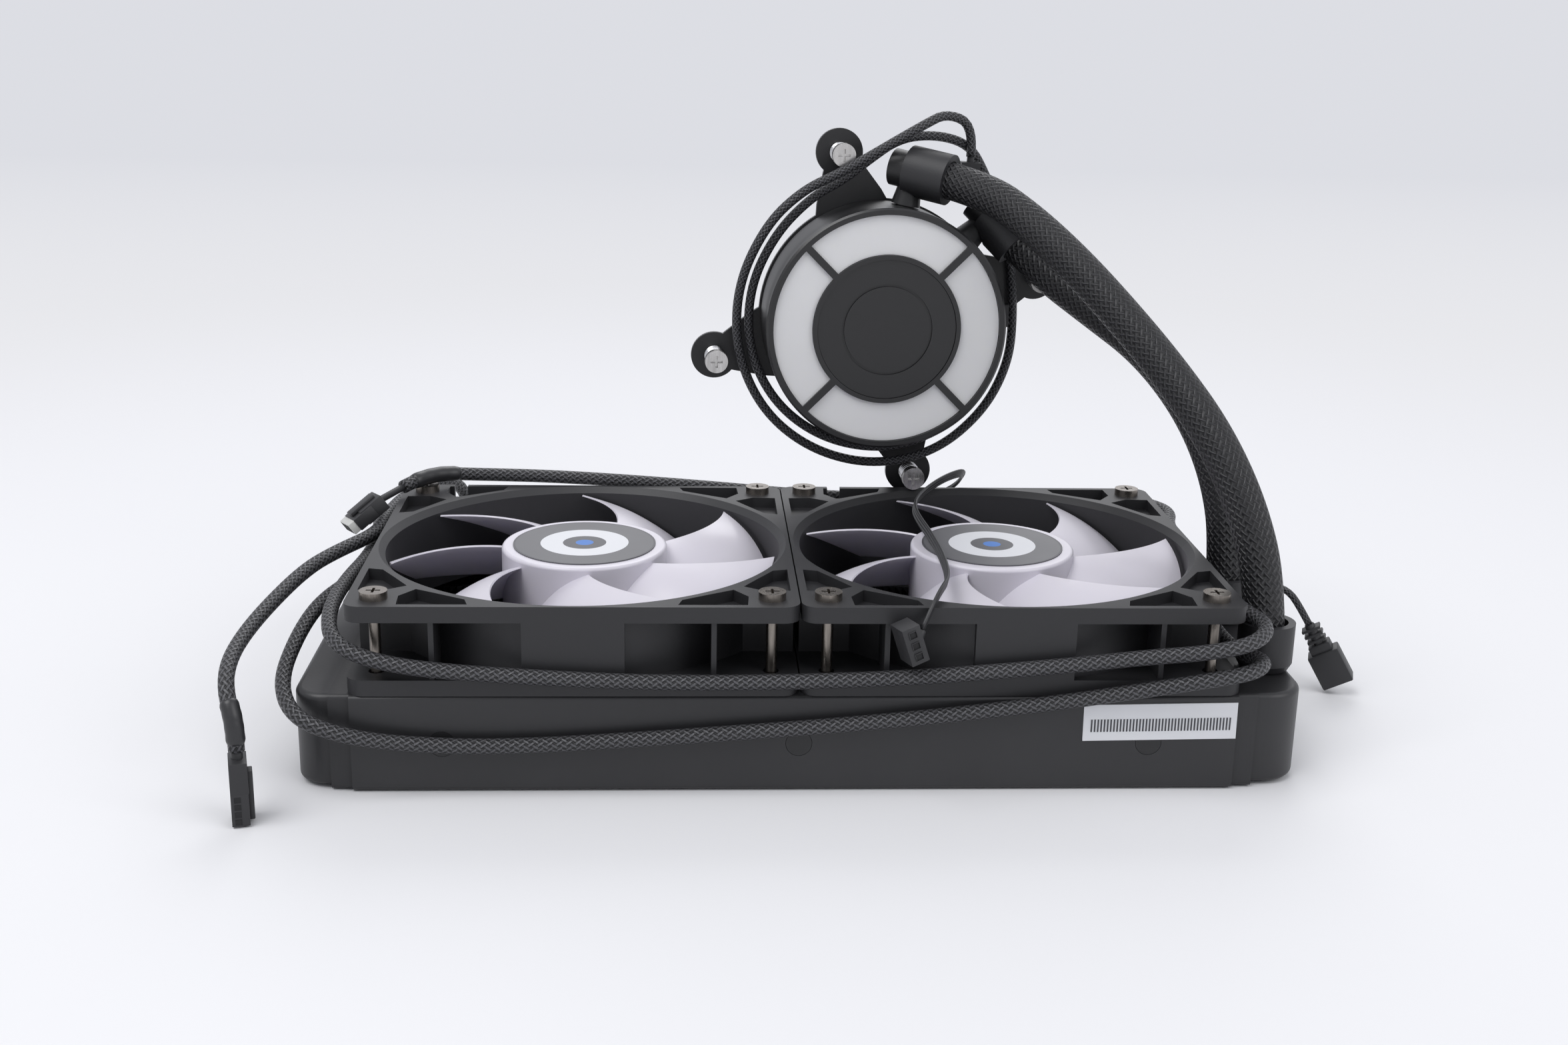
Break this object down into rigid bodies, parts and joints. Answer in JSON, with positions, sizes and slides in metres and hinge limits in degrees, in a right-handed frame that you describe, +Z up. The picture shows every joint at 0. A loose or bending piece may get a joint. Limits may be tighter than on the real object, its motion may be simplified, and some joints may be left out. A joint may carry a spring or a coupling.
{
  "type": "liquid cooler",
  "caption": "All-in-one liquid cooler for a processor: flat radiator with ducted fans, braided hoses and a round pump head with spring-screw bracket, lying with its leads round it.",
  "frame": {"origin": "on the table under the middle between the two fans, at the radiator's underside", "axes": "+Z up, +Y away from the viewer, +X to the right along the radiator"},
  "size_m": [0.3295, 0.1788, 0.1727],
  "materials": {
    "black_sheet": "satin powder coat",
    "core_black": "black coated aluminium",
    "frame_black": "fine matt moulding",
    "rotor_white": "pearly translucent white",
    "steel": "turned steel",
    "screw_nickel": "dark nickel",
    "label": "satin film",
    "bronze": "sintered bronze",
    "board": "coated board",
    "coil": "copper winding on steel",
    "pump_black": "satin moulding",
    "face_black": "satin gloss",
    "window_white": "frosted",
    "copper": "machined copper",
    "rubber_black": "satin rubber",
    "braid_black": "woven sleeve",
    "spring_steel": "bright wire",
    "impeller_grey": "moulded",
    "sticker_white": "plain film"
  },
  "bodies": {
    "cooler": {"side_plate_front": "black_sheet", "side_plate_back": "black_sheet", "bracket": "black_sheet", "core_tubes": "core_black", "core_bars": "core_black", "core_fins": "core_black", "header_left": "core_black", "header_right": "core_black", "tank_left": "core_black", "tank_right": "core_black", "side_screws": "screw_nickel", "fan_screws": "screw_nickel", "fan_frame_left": "frame_black", "fan_frame_right": "frame_black", "impeller_shaft": "steel", "cold_plate_screws": "steel", "fan_bearings": "bronze", "fan_boards": "board", "pump_board": "board", "fan_stators": "coil", "pump_stator": "coil", "pump_housing": "pump_black", "elbows": "pump_black", "face_ring": "face_black", "face_disc": "face_black", "face_window": "window_white", "cold_plate": "copper", "hose_collars_pump": "rubber_black", "hose_collars_radiator": "rubber_black", "hose_front": "braid_black", "hose_rear": "braid_black", "fan_lead_left": "braid_black", "fan_lead_right": "braid_black", "light_lead_left": "braid_black", "light_lead_right": "braid_black", "pump_lead": "braid_black", "plug_upper": "frame_black", "plug_table": "frame_black", "plug_right": "frame_black", "plug_front": "frame_black", "pump_plug": "frame_black", "spring_top": "spring_steel", "spring_left": "spring_steel", "spring_bottom": "spring_steel", "spring_right": "spring_steel", "plate_sticker": "sticker_white"},
    "fan_left": {"fan_rotor_left": "rotor_white", "rotor_ring_left": "steel", "rotor_shaft_left": "steel", "hub_label_left": "label"},
    "fan_right": {"fan_rotor_right": "rotor_white", "rotor_ring_right": "steel", "rotor_shaft_right": "steel", "hub_label_right": "label"},
    "pump_impeller": {"impeller": "impeller_grey"},
    "screw_top": {"spring_screw_top": "steel"},
    "screw_left": {"spring_screw_left": "steel"},
    "screw_bottom": {"spring_screw_bottom": "steel"},
    "screw_right": {"spring_screw_right": "steel"}
  },
  "joints": [
    {"name": "fan_left_spin", "type": "hinge", "parent": "cooler", "child": "fan_left", "pos_m": [-0.06, 0, 0.04], "axis": [0, 0, 1], "continuous": true},
    {"name": "fan_right_spin", "type": "hinge", "parent": "cooler", "child": "fan_right", "pos_m": [0.06, 0, 0.04], "axis": [0, 0, 1], "continuous": true},
    {"name": "impeller_spin", "type": "hinge", "parent": "cooler", "child": "pump_impeller", "pos_m": [0.03006, 0.06101, 0.10746], "axis": [0.0523, -0.9986, 0], "continuous": true},
    {"name": "spring_screw_right_slide", "type": "slide", "parent": "cooler", "child": "screw_right", "axis": [-0.0523, 0.9986, 0], "range_m": [0, 0.0045], "stiffness_N_per_m": 600, "deforming": ["spring_right"]},
    {"name": "spring_screw_top_slide", "type": "slide", "parent": "cooler", "child": "screw_top", "axis": [-0.0523, 0.9986, 0], "range_m": [0, 0.0045], "stiffness_N_per_m": 600, "deforming": ["spring_top"]},
    {"name": "spring_screw_left_slide", "type": "slide", "parent": "cooler", "child": "screw_left", "axis": [-0.0523, 0.9986, 0], "range_m": [0, 0.0045], "stiffness_N_per_m": 600, "deforming": ["spring_left"]},
    {"name": "spring_screw_bottom_slide", "type": "slide", "parent": "cooler", "child": "screw_bottom", "axis": [-0.0523, 0.9986, 0], "range_m": [0, 0.0045], "stiffness_N_per_m": 600, "deforming": ["spring_bottom"]}
  ]
}
